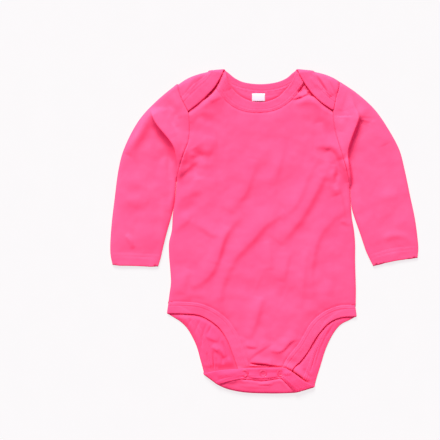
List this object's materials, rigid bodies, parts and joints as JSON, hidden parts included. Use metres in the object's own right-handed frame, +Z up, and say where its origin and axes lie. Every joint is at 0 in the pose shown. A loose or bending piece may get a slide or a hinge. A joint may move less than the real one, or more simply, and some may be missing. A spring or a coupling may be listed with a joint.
{
  "type": "baby bodysuit laid flat",
  "caption": "Long-sleeved baby bodysuit lying face up, with an envelope neck, bound leg openings and a crotch tab folded over the front and snapped shut.",
  "frame": {"origin": "centre of the footprint, on the surface that the garment lies on", "axes": "+Z up out of the front of the garment, +Y towards the neck, +X towards the wearer's left sleeve"},
  "size_m": [0.3905, 0.4124, 0.0112],
  "materials": {
    "jersey_back": "matt cotton knit, hot pink",
    "jersey_front": "matt cotton knit, hot pink",
    "jersey_sleeves": "matt cotton knit, hot pink",
    "rib_neck": "matt fine rib binding, hot pink",
    "rib_legs": "matt fine rib binding, hot pink",
    "rib_crotch": "matt fine rib binding, hot pink",
    "snaps": "glossy pink enamel or plastic",
    "label": "smooth white woven tape"
  },
  "bodies": {
    "root": {"back_panel": "jersey_back", "front_panel": "jersey_front", "sleeve_right": "jersey_sleeves", "sleeve_left": "jersey_sleeves", "neckband_back": "rib_neck", "neckband_front": "rib_neck", "leg_binding_right": "rib_legs", "leg_binding_left": "rib_legs", "crotch_band_back": "rib_crotch", "crotch_band_front": "rib_crotch", "snap_cap_1": "snaps", "snap_cap_2": "snaps", "snap_cap_3": "snaps", "snap_stud_1": "snaps", "snap_stud_2": "snaps", "snap_stud_3": "snaps", "neck_label": "label"}
  },
  "joints": []
}
